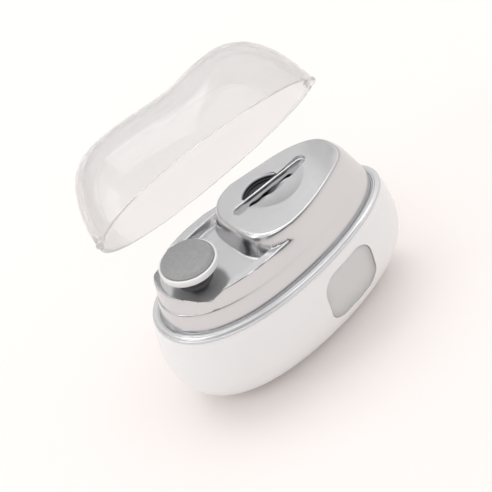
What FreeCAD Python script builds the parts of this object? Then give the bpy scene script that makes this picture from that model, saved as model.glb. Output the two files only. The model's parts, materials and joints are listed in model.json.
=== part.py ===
import FreeCAD, Part
import math
import os

os.makedirs("parts", exist_ok=True)
Vector = FreeCAD.Vector

# ---------------------------------------------------------------------------
# Driving dimensions, mm.  +X is the rear (cutter) end, -X the polishing disc
# end, -Y the side with the dust box, +Z up, and Z = 0 the flat face it stands on.
# Heights named *_H are measured up from the seam between base and trim.
# ---------------------------------------------------------------------------
SEAM_Z = 34.5              # height of the seam above the standing face
HALF_LENGTH = 43.0         # seam outline, half of the length
HALF_WIDTH = 21.7          # seam outline, half of the width
OUTLINE_POWER = 2.12       # superellipse power of the outline
OUTLINE_TAPER = -0.172     # the outline is wider at the disc end

SHELL_WALL = 2.0
HULL_DEPTH = 35.6          # depth of the full hull form, cut flat at SEAM_Z
HULL_END_POWER = 4.0       # fullness of the hull seen from the side
HULL_SIDE_POWER = 2.7      # fullness of the hull seen from the end
HULL_BULGE = 0.048         # the hull swells a little under the seam
HULL_TAPER = -0.04

LEDGE_H = 0.8              # top of the trim ring, where the lid lands
WALL_INSET = 3.0           # foot of the cover wall, in from the seam outline
CREASE_H = 8.2             # ledge line along the cover wall
CREASE_INSET = (4.0, 4.4, 4.0)  # crease, in from the seam outline: front, rear, sides
TOWER_INSET = (4.6, 4.8, 4.2)   # foot of the upper wall, just inside the crease
TOWER_LEAN = (1.6, 4.6, 1.9)    # how far the upper wall leans in on its way up
TOWER_ROUND = 1.5
NOSE_CENTRE_X = 8.0             # blunt front of the plateau, over the disc's channel
NOSE_SIZE = (19.0, 30.0, 16.2)  # front, rear and side reach from its centre
NOSE_POWER = 2.7
NOSE_LEAN = (2.6, 0.0, 1.2)
NOSE_ROUND = 1.3
PLATFORM_H = 14.0          # shoulder around the disc
DISH_FLOOR_H = 11.2
DISH_REACH = (11.0, 13.4)  # half length and half width of the dish around the disc
CHANNEL_HALF_WIDTH = 14.2  # the dish narrows to this behind the disc
CHANNEL_INSET = 7.7        # end of the channel's outline, in from the seam outline
SHOULDER_END_X = 6.0       # the shoulder beside the plateau runs back to here
PLATEAU_H = 18.6           # flat top with the cutting slot
COVER_WALL = 1.2
PLATEAU_WALL = 1.6

SLOT_X = 9.5
SLOT_Y = 3.0
SLOT_LENGTH = 28.0
SLOT_WIDTH = 3.5
MOUTH_LENGTH = 17.3
MOUTH_WIDTH = 2.2
GUARD_THICK = 0.4
POCKET_X = 7.5             # half-moon pocket on the far side of the slot
POCKET_Y = 1.75
POCKET_RADIUS = 7.85
POCKET_DEPTH = 1.5
POCKET_BEVEL = 0.6
SCOOP_RADIUS = 68.0        # shallow spherical scoop on the near side of the slot
SCOOP_DEPTH = 0.9
BEAD_H = 0.4               # raised bead on the trim ring, above the ledge

DECK_TOP_H = -0.8
DECK_THICK = 1.6

GEAR_MODULE = 0.4
DRUM_TEETH = 22
PINION_TEETH = 14
MOTOR_RADIUS = 5.0
DRUM_RADIUS = 4.9
DRUM_FLUTES = 6
DRUM_TWIST = 70.0          # degrees of flute twist over the drum's length

DISC_X = -25.7
PAD_RADIUS = 8.5
HOLDER_RADIUS = PAD_RADIUS + 0.8
PAD_TOP_H = 19.7
POLISHER_RADIUS = 6.0

WINDOW_X = (2.0, 24.0)     # dust box opening in the side of the base
WINDOW_H = (-23.0, -3.5)
WINDOW_CORNER = 6.5
BOX_GAP = 0.25             # running gap around the dust box
BOX_WALL = 1.3
BOX_BACK_Y = 12.0
BAY_WALL = 1.1

BOARD_X = (-16.0, 14.0)
BOARD_Y = 14.4
BOARD_H = (-20.0, -6.8)
BOARD_THICK = 1.0
BUTTON_X = -8.0
BUTTON_H = -12.5
BUTTON_HALF = (4.5, 3.0)   # half length and half height of the button's face
BUTTON_FACE_Y = 23.1
USB_X = 7.0
USB_H = -12.5
USB_HALF = (4.5, 1.6)
LENS_X = 0.0
LENS_H = -8.5

LID_WALL = 1.2
LID_RIM_H = 0.95           # rim of the closed lid, just clear of the ledge
LID_INSET = 0.4
LID_ARCH_POWER = 2.5
HOOK_H = (1.55, 2.95)      # hooks at the lid's tips, above the bead of the closed lid
HOOK_X = (40.3, 41.9)
HINGE_Y = 33.8             # the lid's turning axis, parallel to X
HINGE_H = -0.5
LID_OPEN = 58.0            # degrees from closed to the open rest position


# ---------------------------------------------------------------------------
# Helpers
# ---------------------------------------------------------------------------
def signed_power(value, power):
    return math.copysign(abs(value) ** power, value)


def smooth_ring(points):
    curve = Part.BSplineCurve()
    curve.interpolate(Points=points, PeriodicFlag=True)
    return Part.Wire([curve.toShape()])


def egg_ring(front, rear, half_width, height, centre=0.0, power=OUTLINE_POWER,
             taper=OUTLINE_TAPER, count=36):
    """Closed egg outline at one height; front and rear are its two half lengths."""
    points = []
    for step in range(count):
        angle = 2.0 * math.pi * step / count
        along = signed_power(math.cos(angle), 2.0 / power)
        across = signed_power(math.sin(angle), 2.0 / power)
        reach = rear if along > 0 else front
        y = half_width * across * (1.0 + taper * along)
        points.append(Vector(centre + reach * along, y, SEAM_Z + height))
    return smooth_ring(points)


def seam_ring(inset, height):
    return egg_ring(HALF_LENGTH - inset, HALF_LENGTH - inset, HALF_WIDTH - inset, height)


def loft(rings, ruled=False):
    return Part.makeLoft(rings, True, ruled)


def seam_slab(inset, low, high):
    return loft([seam_ring(inset, low), seam_ring(inset, high)], True)


def seam_band(outer_inset, inner_inset, low, high):
    return seam_slab(outer_inset, low, high).cut(seam_slab(inner_inset, low - 1, high + 1))


def block(x_range, y_range, h_range):
    size = [pair[1] - pair[0] for pair in (x_range, y_range, h_range)]
    corner = Vector(x_range[0], y_range[0], SEAM_Z + h_range[0])
    return Part.makeBox(size[0], size[1], size[2], corner)


def post(x, y, h_range, radius):
    """Upright cylinder."""
    base = Vector(x, y, SEAM_Z + h_range[0])
    return Part.makeCylinder(radius, h_range[1] - h_range[0], base, Vector(0, 0, 1))


def rod(x_range, y, height, radius):
    """Cylinder along X."""
    base = Vector(x_range[0], y, SEAM_Z + height)
    return Part.makeCylinder(radius, x_range[1] - x_range[0], base, Vector(1, 0, 0))


def peg(x, y_range, height, radius):
    """Cylinder along Y."""
    base = Vector(x, y_range[0], SEAM_Z + height)
    return Part.makeCylinder(radius, y_range[1] - y_range[0], base, Vector(0, 1, 0))


def grown(half, by):
    return (half[0] + by, half[1] + by)


def rounded_prism(x_range, h_range, y_range, radius):
    """Bar along Y with a rounded rectangular section in X and Z."""
    bar = block(x_range, y_range, h_range)
    edges = [edge for edge in bar.Edges if abs(edge.tangentAt(edge.FirstParameter).y) > 0.99]
    return bar.makeFillet(radius, edges)


def bar_about(x, height, half, y_range, radius):
    """Rounded bar along Y about a centre, from its half length and half height."""
    return rounded_prism((x - half[0], x + half[0]), (height - half[1], height + half[1]), y_range, radius)


def stadium(x, y, length, width, h_range):
    """Upright slot form along X with round ends."""
    straight = (length - width) / 2.0
    body = block((x - straight, x + straight), (y - width / 2.0, y + width / 2.0), h_range)
    for side in (-straight, straight):
        body = body.fuse(post(x + side, y, h_range, width / 2.0))
    return body.removeSplitter()


def fuse_all(pieces):
    body = pieces[0]
    for piece in pieces[1:]:
        body = body.fuse(piece)
    return body.removeSplitter()


def save(name, pieces):
    if not isinstance(pieces, (list, tuple)):
        pieces = [pieces]
    solids = [solid for piece in pieces for solid in piece.Solids]
    shape = solids[0] if len(solids) == 1 else Part.makeCompound(solids)
    shape.exportStep("parts/" + name + ".step")
    print(name, len(solids), round(shape.Volume, 1), shape.isValid())


# ---------------------------------------------------------------------------
# Base: a boat-shaped shell, cut flat underneath
# ---------------------------------------------------------------------------
def hull_ring(height, inset, depth):
    """Section of the hull form at a height below the seam."""
    sink = min(-height / depth, 0.999) if height < 0 else 0.0
    along = (1.0 - sink ** HULL_END_POWER) ** (1.0 / HULL_END_POWER)
    across = (1.0 - sink ** HULL_SIDE_POWER) ** (1.0 / HULL_SIDE_POWER)
    swell = 1.0 + HULL_BULGE * 4.0 * sink * (1.0 - sink)
    length = HALF_LENGTH * along * swell - inset
    width = HALF_WIDTH * across * swell - inset
    return egg_ring(length, length, width, height, taper=OUTLINE_TAPER + HULL_TAPER * sink)


def hull_form(inset, bottom):
    """Solid hull from the seam down; inset moves its surface inwards."""
    steps = 9
    heights = [bottom * math.sin(0.5 * math.pi * step / steps) for step in range(steps + 1)]
    rings = [hull_ring(height, inset, HULL_DEPTH) for height in heights]
    return loft(rings)


HULL_OUTER = hull_form(0.0, -SEAM_Z)
HULL_INNER = hull_form(SHELL_WALL, 2.5 - SEAM_Z)
BOSS_SPOTS = [(-14.0, 13.0), (-14.0, -13.0), (28.8, 8.8), (28.8, -8.8)]
DECK_UNDER_H = DECK_TOP_H - DECK_THICK
BOARD_FACE_Y = BOARD_Y + BOARD_THICK
BOARD_POSTS = [(-14.0, -18.0), (11.5, -18.0)]


def window_prism(grow, y_range):
    x_range = (WINDOW_X[0] - grow, WINDOW_X[1] + grow)
    h_range = (WINDOW_H[0] - grow, WINDOW_H[1] + grow)
    return rounded_prism(x_range, h_range, y_range, WINDOW_CORNER + grow)


def make_lower_shell():
    body = HULL_OUTER.cut(HULL_INNER.fuse(seam_slab(SHELL_WALL, -0.5, 2.0)))
    ledge = seam_band(1.0, 3.6, DECK_UNDER_H - 1.8, DECK_UNDER_H)
    supports = [ledge]
    for x, y in BOSS_SPOTS:
        reach = (y - 2.8, 24.0) if y > 0 else (-24.0, y + 2.8)
        supports.append(block((x - 2.8, x + 2.8), reach, (DECK_UNDER_H - 3.8, DECK_UNDER_H)))
    for x, height in BOARD_POSTS:
        supports.append(peg(x, (BOARD_FACE_Y, 24.0), height, 1.8))
    for support in supports:
        body = body.fuse(support.common(HULL_OUTER))
    for x, y in BOSS_SPOTS:
        body = body.cut(post(x, y, (DECK_UNDER_H - 3.3, DECK_UNDER_H + 1), 0.75))
    for x, height in BOARD_POSTS:
        body = body.cut(peg(x, (BOARD_FACE_Y - 1, BOARD_FACE_Y + 2.6), height, 0.7))
    body = body.cut(window_prism(0.0, (-30.0, -9.0)))
    body = body.cut(window_prism(BAY_WALL + 0.05, (-14.0, BOX_BACK_Y)).common(HULL_INNER))
    body = body.cut(bar_about(USB_X, USB_H, grown(USB_HALF, 0.5), (16, 30), 2.0))
    body = body.cut(bar_about(BUTTON_X, BUTTON_H, grown(BUTTON_HALF, 0.3), (16, 30), 3.2))
    return body.cut(peg(LENS_X, (16, 30), LENS_H, 1.0))


# ---------------------------------------------------------------------------
# Trim ring on the seam: flat ledge for the lid, a raised bead, and an inner
# step that stands on the deck
# ---------------------------------------------------------------------------
def make_trim_ring():
    ledge = seam_band(0.15, 4.3, 0.0, LEDGE_H)
    step = seam_band(2.4, 4.3, DECK_TOP_H, 0.0)
    bead_rise = [(2.0, -0.2), (2.05, 0.5 * BEAD_H), (2.25, BEAD_H)]
    bead_outer = loft([seam_ring(inset, LEDGE_H + rise) for inset, rise in bead_rise])
    bead_inner = loft([seam_ring(2.8, LEDGE_H - 0.3), seam_ring(2.5, LEDGE_H + BEAD_H + 0.1)], True)
    return fuse_all([ledge, step, bead_outer.cut(bead_inner)])


# ---------------------------------------------------------------------------
# Metallised cover: tapered wall with a crease line, a low dished platform for
# the disc in front, and a high plateau with the cutting slot behind
# ---------------------------------------------------------------------------
def leaning_block(front, rear, half_width, low, high, lean, radius, **shape):
    """Upright egg form that leans in by lean (front, rear, side), its top edge rounded."""
    body = loft([egg_ring(front, rear, half_width, low, **shape),
                 egg_ring(front - lean[0], rear - lean[1], half_width - lean[2], high, **shape)], True)
    top = [edge for edge in body.Edges if edge.BoundBox.ZMin > SEAM_Z + high - 0.05]
    return body.makeFillet(radius, top)


def outline_reach(insets, more):
    """Front, rear and side reach of an outline that lies inside the seam outline."""
    sizes = (HALF_LENGTH, HALF_LENGTH, HALF_WIDTH)
    return [size - inset - more for size, inset in zip(sizes, insets)]


def cover_form(inset, roof):
    """Outer form of the cover, or with an inset and a roof drop the space inside it."""
    foot = LEDGE_H if inset == 0 else DECK_TOP_H - 1.0
    crease = CREASE_H - inset
    top = PLATEAU_H - roof
    tier = loft([seam_ring(WALL_INSET + inset, foot),
                 egg_ring(*outline_reach(CREASE_INSET, inset), crease)], True)
    tower = leaning_block(*outline_reach(TOWER_INSET, inset), crease, top, TOWER_LEAN, TOWER_ROUND)
    nose = leaning_block(NOSE_SIZE[0] - inset, NOSE_SIZE[1], NOSE_SIZE[2] - inset,
                         DISH_FLOOR_H - 1.5 - roof, top, NOSE_LEAN, NOSE_ROUND,
                         centre=NOSE_CENTRE_X, power=NOSE_POWER, taper=0.0)
    above = block((-2 * HALF_LENGTH, SHOULDER_END_X + inset), (-2 * HALF_WIDTH, 2 * HALF_WIDTH),
                  (PLATFORM_H - inset, PLATEAU_H + 5))
    floor = DISH_FLOOR_H - inset
    brim = PLATFORM_H + 1.0
    dish_x, dish_y = grown(DISH_REACH, inset)
    dish = loft([egg_ring(dish_x, dish_x, dish_y, height, centre=DISC_X, power=2.0, taper=0.0)
                 for height in (floor, brim)], True)
    reach = HALF_LENGTH - CHANNEL_INSET
    channel = loft([egg_ring(reach, reach, CHANNEL_HALF_WIDTH + inset, height)
                    for height in (floor, brim)], True)
    channel = channel.common(block((DISC_X + 4, 0), (-HALF_WIDTH, HALF_WIDTH), (floor, brim)))
    recess = above.fuse(dish).fuse(channel).cut(nose)
    return tier.fuse(tower).cut(recess)


COVER_SPOTS = [(-35.4, 0.0), (34.4, -4.5), (-5.0, 12.3), (-5.0, -12.3)]


def crescent(x, y, radius, y_from, h_range):
    """Part of an upright disc beyond a line parallel to X."""
    disc = post(x, y, h_range, radius)
    return disc.common(block((x - 20, x + 20), (y_from, y + 20), h_range))


def make_top_cover():
    outer = cover_form(0.0, 0.0)
    body = outer.cut(cover_form(COVER_WALL, PLATEAU_WALL))
    # screw posts reach from the deck up into the cover's wall or roof
    envelope = cover_form(0.4, 0.4)
    for x, y in COVER_SPOTS:
        body = body.fuse(post(x, y, (DECK_TOP_H, DISH_FLOOR_H - 0.4), 2.2).common(envelope))
    for x, y in COVER_SPOTS:
        body = body.cut(post(x, y, (DECK_TOP_H - 1, DECK_TOP_H + 6.0), 0.75))
    # half-moon pocket on the far side of the slot, with a chamfered rim
    edge_y = SLOT_Y + 2.8
    body = body.fuse(crescent(POCKET_X, POCKET_Y, POCKET_RADIUS + 0.8, edge_y - 0.5,
                              (PLATEAU_H - POCKET_DEPTH - 0.7, PLATEAU_H - POCKET_DEPTH + 0.5)))
    body = body.cut(crescent(POCKET_X, POCKET_Y, POCKET_RADIUS, edge_y,
                             (PLATEAU_H - POCKET_DEPTH, PLATEAU_H + 1)))
    rim_foot = Vector(POCKET_X, POCKET_Y, SEAM_Z + PLATEAU_H - POCKET_BEVEL)
    rim = Part.makeCone(POCKET_RADIUS, POCKET_RADIUS + POCKET_BEVEL, POCKET_BEVEL, rim_foot, Vector(0, 0, 1))
    body = body.cut(rim.common(block((-5, 20), (edge_y, 15), (PLATEAU_H - 1, PLATEAU_H + 1))))
    # shallow scoop on the near side, and the slot itself
    scoop_h = PLATEAU_H - SCOOP_DEPTH + SCOOP_RADIUS
    scoop = Part.makeSphere(SCOOP_RADIUS, Vector(SLOT_X + 1.4, SLOT_Y + 1.7, SEAM_Z + scoop_h))
    body = body.cut(scoop.common(block((-5, 26), (-9, SLOT_Y), (PLATEAU_H - 1.0, PLATEAU_H + 1))))
    body = body.cut(stadium(SLOT_X, SLOT_Y, SLOT_LENGTH, SLOT_WIDTH, (PLATEAU_H - 3, PLATEAU_H + 1)))
    # hole for the disc's stem, and a latch notch at each end of the wall's foot
    body = body.cut(post(DISC_X, 0, (DISH_FLOOR_H - 3, DISH_FLOOR_H + 1), 4.9))
    for side in (-1, 1):
        reach = sorted((side * 38.6, side * 41.0))
        body = body.cut(block(reach, (-2.5, 2.5), (LEDGE_H, LEDGE_H + 2.5)))
    return body


def make_slot_guard():
    """Thin steel strip under the slot with the narrow mouth for the nail."""
    low = PLATEAU_H - PLATEAU_WALL - GUARD_THICK
    plate = stadium(SLOT_X, SLOT_Y, SLOT_LENGTH + 1.4, 4.3, (low, low + GUARD_THICK))
    return plate.cut(stadium(SLOT_X, SLOT_Y, MOUTH_LENGTH, MOUTH_WIDTH, (low - 1, low + 1)))


# ---------------------------------------------------------------------------
# Deck between base and cover, with the disc motor's collar under it
# ---------------------------------------------------------------------------
CHUTE_X = (2.5, 16.5)
CHUTE_Y = (-1.5, 7.5)
CRADLE_SPOTS = [(-4.2, SLOT_Y), (SLOT_X, -6.0)]


def make_deck():
    body = seam_slab(2.35, DECK_UNDER_H, DECK_TOP_H)
    body = body.fuse(post(DISC_X, 0, (-10.0, DECK_TOP_H), POLISHER_RADIUS + 1.6))
    body = body.cut(post(DISC_X, 0, (-12.0, 2.0), POLISHER_RADIUS))
    body = body.cut(block(CHUTE_X, CHUTE_Y, (-5, 2)))
    for x, y in BOSS_SPOTS + COVER_SPOTS:
        body = body.cut(post(x, y, (-5, 2), 1.1))
    for x, y in CRADLE_SPOTS:
        body = body.cut(post(x, y, (-5, 2), 0.7))
    return body.removeSplitter()


# ---------------------------------------------------------------------------
# Cutter: fluted drum on a shaft in a cradle, geared to a small motor
# ---------------------------------------------------------------------------
MOTOR_H = DECK_TOP_H + MOTOR_RADIUS
CENTRE_DISTANCE = GEAR_MODULE * (DRUM_TEETH + PINION_TEETH) / 2.0
DRUM_H = MOTOR_H + CENTRE_DISTANCE
DRUM_X = (SLOT_X - 8.5, SLOT_X + 8.5)
FRONT_WALL_X = (DRUM_X[0] - 2.4, DRUM_X[0] - 0.6)
REAR_WALL_X = (DRUM_X[1] + 0.6, DRUM_X[1] + 2.2)
GEAR_X = (REAR_WALL_X[1] + 0.4, REAR_WALL_X[1] + 2.4)
MOTOR_X = (GEAR_X[1] + 0.8, 31.3)
SHAFT_RADIUS = 1.0
BUSHING_RADIUS = 2.2
FIT = 0.05                 # radial running gap of shafts in bushings


def make_drum_cradle():
    half = 6.7
    outer = block((FRONT_WALL_X[0], REAR_WALL_X[1]), (SLOT_Y - half, SLOT_Y + half),
                  (DECK_TOP_H, DRUM_H + 2.8))
    inner = block((FRONT_WALL_X[1], REAR_WALL_X[0]), (SLOT_Y - 5.5, SLOT_Y + 5.5),
                  (DECK_TOP_H - 1, DRUM_H + 5))
    low_front = block((-7.0, FRONT_WALL_X[0]), (SLOT_Y - 3.0, SLOT_Y + 3.0), (DECK_TOP_H, DECK_TOP_H + 1.2))
    low_side = block((SLOT_X - 3.0, SLOT_X + 3.0), (-8.2, SLOT_Y - half), (DECK_TOP_H, DECK_TOP_H + 1.2))
    body = fuse_all([outer.cut(inner), low_front, low_side])
    for x_range in (FRONT_WALL_X, REAR_WALL_X):
        body = body.cut(rod((x_range[0] - 0.1, x_range[1] + 0.1), SLOT_Y, DRUM_H, BUSHING_RADIUS))
    for x, y in CRADLE_SPOTS:
        body = body.cut(post(x, y, (DECK_TOP_H - 1, DECK_TOP_H + 3), 0.9))
    return body


def make_dust_chute():
    gap = 0.1
    low_x = (CHUTE_X[0] + gap, CHUTE_X[1] - gap)
    low_y = (CHUTE_Y[0] + gap, CHUTE_Y[1] - gap)
    sleeve = block(low_x, low_y, (-3.3, DECK_TOP_H + 0.6))
    lip = block((CHUTE_X[0] - 0.8, CHUTE_X[1] + 0.8), (CHUTE_Y[0] - 0.8, CHUTE_Y[1] + 0.8),
                (DECK_TOP_H, DECK_TOP_H + 0.6))
    hollow = block((CHUTE_X[0] + 1, CHUTE_X[1] - 1), (CHUTE_Y[0] + 1, CHUTE_Y[1] - 1), (-5, 2))
    return sleeve.fuse(lip).cut(hollow).removeSplitter()


def make_bushings():
    rings = []
    for x_range in (FRONT_WALL_X, REAR_WALL_X):
        ring = rod(x_range, SLOT_Y, DRUM_H, BUSHING_RADIUS)
        rings.append(ring.cut(rod((x_range[0] - 1, x_range[1] + 1), SLOT_Y, DRUM_H, SHAFT_RADIUS + FIT)))
    return rings


def yz_wire(x, polar, height):
    """Closed polygon at one X from (radius, degrees) pairs about the drum or motor axis."""
    points = []
    for radius, degrees in polar:
        turn = math.radians(degrees)
        points.append(Vector(x, SLOT_Y + radius * math.cos(turn), SEAM_Z + height + radius * math.sin(turn)))
    return Part.makePolygon(points + [points[0]])


def make_cutter_drum():
    """Drum with helical cutting edges: sharp lands, swept valleys."""
    sections = 8
    pitch = 360.0 / DRUM_FLUTES
    wires = []
    for step in range(sections + 1):
        part = step / float(sections)
        twist = DRUM_TWIST * part
        polar = []
        for flute in range(DRUM_FLUTES):
            start = twist + pitch * flute
            polar.append((DRUM_RADIUS, start))
            polar.append((DRUM_RADIUS - 0.1, start + 0.22 * pitch))
            polar.append((DRUM_RADIUS - 1.3, start + 0.40 * pitch))
            polar.append((DRUM_RADIUS - 1.7, start + 0.66 * pitch))
            polar.append((DRUM_RADIUS - 1.2, start + 0.88 * pitch))
        x = DRUM_X[0] + (DRUM_X[1] - DRUM_X[0]) * part
        wires.append(yz_wire(x, polar, DRUM_H))
    drum = loft(wires, True)
    return drum.cut(rod((DRUM_X[0] - 1, DRUM_X[1] + 1), SLOT_Y, DRUM_H, SHAFT_RADIUS))


def make_gear(teeth, x_range, height, first_tooth):
    """Spur gear with straight-flanked teeth, thinned a little for backlash."""
    pitch_radius = GEAR_MODULE * teeth / 2.0
    tip = pitch_radius + 0.85 * GEAR_MODULE
    root = pitch_radius - 1.25 * GEAR_MODULE
    pitch = 360.0 / teeth
    polar = []
    for tooth in range(teeth):
        middle = first_tooth + pitch * tooth
        polar.append((root, middle - 0.30 * pitch))
        polar.append((tip, middle - 0.11 * pitch))
        polar.append((tip, middle + 0.11 * pitch))
        polar.append((root, middle + 0.30 * pitch))
    face = Part.Face(yz_wire(x_range[0], polar, height))
    wheel = face.extrude(Vector(x_range[1] - x_range[0], 0, 0))
    return wheel.cut(rod((x_range[0] - 1, x_range[1] + 1), SLOT_Y, height, SHAFT_RADIUS))


def make_motor_strap():
    """Bent metal strap that holds the cutter motor down on the deck."""
    x_range = (24.2, 27.0)
    radius = MOTOR_RADIUS + 0.9
    arch = rod(x_range, SLOT_Y, MOTOR_H, radius)
    legs = block(x_range, (SLOT_Y - radius, SLOT_Y + radius), (DECK_TOP_H, MOTOR_H))
    body = arch.fuse(legs)
    body = body.cut(block(x_range, (-10, 20), (-20, DECK_TOP_H)))
    body = body.cut(rod((20, 30), SLOT_Y, MOTOR_H, MOTOR_RADIUS + 0.03))
    room = (SLOT_Y - MOTOR_RADIUS, SLOT_Y + MOTOR_RADIUS)
    return body.cut(block((20, 30), room, (DECK_TOP_H - 1, MOTOR_H)))


# ---------------------------------------------------------------------------
# Polisher: upright motor, stem, holder and pad
# ---------------------------------------------------------------------------
CAN_H = (-15.0, 5.0)
HOLDER_H = (15.9, 17.9)


def make_pad_holder():
    cup = post(DISC_X, 0, (HOLDER_H[0], HOLDER_H[1] + 0.5), HOLDER_RADIUS)
    cup = cup.makeFillet(0.7, [edge for edge in cup.Edges if edge.Length > 10
                               and abs(edge.CenterOfMass.z - SEAM_Z - HOLDER_H[0]) < 0.01])
    cup = cup.cut(post(DISC_X, 0, (HOLDER_H[1], HOLDER_H[1] + 2), PAD_RADIUS))
    return cup


def make_polishing_pad():
    disc = post(DISC_X, 0, (HOLDER_H[1], PAD_TOP_H), PAD_RADIUS)
    top = [edge for edge in disc.Edges if edge.Length > 10
           and abs(edge.CenterOfMass.z - SEAM_Z - PAD_TOP_H) < 0.01]
    return disc.makeChamfer(0.6, top)


# ---------------------------------------------------------------------------
# Dust box and the bay that it slides in
# ---------------------------------------------------------------------------
def make_dust_box():
    bar = window_prism(-BOX_GAP, (-30.0, BOX_BACK_Y)).common(HULL_OUTER)
    hollow = window_prism(-BOX_GAP - BOX_WALL, (-30.0, BOX_BACK_Y - BOX_WALL))
    body = bar.cut(hollow.common(hull_form(1.6, 2.0 - SEAM_Z)))
    mouth = block((5.0, 21.0), (-13.0, BOX_BACK_Y - BOX_WALL), (WINDOW_H[1] - 6.0, WINDOW_H[1] + 1))
    return body.cut(mouth)


def make_drawer_bay():
    sleeve = window_prism(BAY_WALL, (-13.5, BOX_BACK_Y + 1.5))
    sleeve = sleeve.cut(window_prism(0.0, (-30.0, BOX_BACK_Y + 0.4)))
    chute_room = block((CHUTE_X[0] - 0.3, CHUTE_X[1] + 0.3), (CHUTE_Y[0] - 0.3, CHUTE_Y[1] + 0.3), (-6, 0))
    sleeve = sleeve.cut(chute_room)
    return sleeve.common(HULL_INNER)


# ---------------------------------------------------------------------------
# Power: cell, board, socket, switch and button
# ---------------------------------------------------------------------------
CELL_X = (-28.0, 12.0)
CELL_H = (-31.0, -24.9)


def make_cell():
    cell = block(CELL_X, (-9.0, 9.0), CELL_H)
    return cell.makeFillet(1.6, [edge for edge in cell.Edges
                                 if abs(edge.tangentAt(edge.FirstParameter).x) > 0.99])


def make_usb_socket():
    outside = bar_about(USB_X, USB_H, USB_HALF, (BOARD_FACE_Y, 21.6), 1.5)
    inside = bar_about(USB_X, USB_H, grown(USB_HALF, -0.3), (BOARD_FACE_Y + 1.2, 23), 1.25)
    tongue = block((USB_X - 3.3, USB_X + 3.3), (BOARD_FACE_Y, 20.6), (USB_H - 0.35, USB_H + 0.35))
    return outside.cut(inside).fuse(tongue).removeSplitter()


def make_power_button():
    cap = bar_about(BUTTON_X, BUTTON_H, BUTTON_HALF, (18.4, BUTTON_FACE_Y), 2.9)
    front = [edge for edge in cap.Edges if abs(edge.CenterOfMass.y - BUTTON_FACE_Y) < 0.01]
    cap = cap.makeFillet(0.7, front)
    flange = bar_about(BUTTON_X, BUTTON_H, grown(BUTTON_HALF, 0.9), (18.4, 19.2), 3.8)
    return cap.fuse(flange).removeSplitter()


def make_switch():
    body = block((BUTTON_X - 3.0, BUTTON_X + 3.0), (BOARD_FACE_Y, BOARD_FACE_Y + 2.0),
                 (BUTTON_H - 3.0, BUTTON_H + 3.0))
    return body.cut(peg(BUTTON_X, (BOARD_FACE_Y + 0.6, BOARD_FACE_Y + 3), BUTTON_H, 1.5))


def make_board():
    board = block(BOARD_X, (BOARD_Y, BOARD_FACE_Y), BOARD_H)
    for x, height in BOARD_POSTS:
        board = board.cut(peg(x, (BOARD_Y - 1, BOARD_FACE_Y + 1), height, 0.9))
    return board


# ---------------------------------------------------------------------------
# Screws
# ---------------------------------------------------------------------------
def screw_down(x, y, seat_h, length, head=1.6):
    """Pan head screw that goes down from its seat; a slot is cut in the head."""
    body = post(x, y, (seat_h - length, seat_h), 0.65).fuse(post(x, y, (seat_h, seat_h + 1.0), head))
    return body.cut(block((x - head, x + head), (y - 0.25, y + 0.25), (seat_h + 0.6, seat_h + 2)))


def screw_up(x, y, seat_h, length, head=1.6):
    body = post(x, y, (seat_h, seat_h + length), 0.65).fuse(post(x, y, (seat_h - 1.0, seat_h), head))
    return body.cut(block((x - head, x + head), (y - 0.25, y + 0.25), (seat_h - 2, seat_h - 0.6)))


def screw_across(x, height, seat_y, length, head=1.5):
    body = peg(x, (seat_y, seat_y + length), height, 0.6).fuse(peg(x, (seat_y - 0.7, seat_y), height, head))
    return body.cut(block((x - head, x + head), (seat_y - 2, seat_y - 0.45), (height - 0.25, height + 0.25)))


# ---------------------------------------------------------------------------
# Lid: one clear arch over the whole top, shown swung open
# ---------------------------------------------------------------------------
LID_CREST = [(-42.5, 5.0), (-41.3, 10.2), (-38.6, 16.6), (-34.6, 22.6), (-28.0, 26.0), (-18.0, 26.8),
             (-7.0, 26.2), (3.0, 25.9), (11.5, 27.3), (19.5, 28.2), (26.5, 27.9), (33.5, 24.8),
             (38.6, 18.4), (41.0, 12.0), (42.5, 5.6)]


def seam_half_width(x):
    part = min(abs(x) / HALF_LENGTH, 1.0)
    edge = (1.0 - part ** OUTLINE_POWER) ** (1.0 / OUTLINE_POWER)
    return HALF_WIDTH * edge * (1.0 + OUTLINE_TAPER * x / HALF_LENGTH)


def arch_wire(x, half_width, foot_h, crest_h):
    """Arch section at one X, closed along its foot."""
    count = 16
    points = []
    for step in range(count + 1):
        angle = math.pi * step / count
        y = half_width * signed_power(math.cos(angle), 2.0 / LID_ARCH_POWER)
        rise = abs(math.sin(angle)) ** (2.0 / LID_ARCH_POWER) if 0 < step < count else 0.0
        points.append(Vector(x, y, SEAM_Z + foot_h + (crest_h - foot_h) * rise))
    curve = Part.BSplineCurve()
    curve.interpolate(Points=points)
    return Part.Wire([curve.toShape(), Part.makeLine(points[-1], points[0])])


def make_lid():
    outer = []
    inner = []
    for x, crest in LID_CREST:
        half_width = seam_half_width(x) - LID_INSET
        outer.append(arch_wire(x, half_width, LID_RIM_H, crest))
        shrink = 1.0 - LID_WALL / (HALF_LENGTH - LID_INSET)
        inner.append(arch_wire(x * shrink, half_width - LID_WALL, LID_RIM_H - 0.4, crest - LID_WALL))
    body = loft(outer).cut(loft(inner))
    for side in (-1, 1):
        lip = post(side * 41.0, 0, (LID_RIM_H, LID_RIM_H + 1.2), 2.9)
        lip = lip.cut(block((-41.4, 41.4), (-5, 5), (LID_RIM_H - 1, LID_RIM_H + 2)))
        hook = block(sorted((side * HOOK_X[0], side * HOOK_X[1])), (-2.1, 2.1), HOOK_H)
        body = body.fuse(lip).fuse(hook)
    # room over the trim ring's bead when the lid is down
    body = body.cut(seam_band(1.7, 3.2, 0.0, LEDGE_H + BEAD_H + 0.2))
    body = body.removeSplitter()
    body.rotate(Vector(0, HINGE_Y, SEAM_Z + HINGE_H), Vector(1, 0, 0), -LID_OPEN)
    return body


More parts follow.
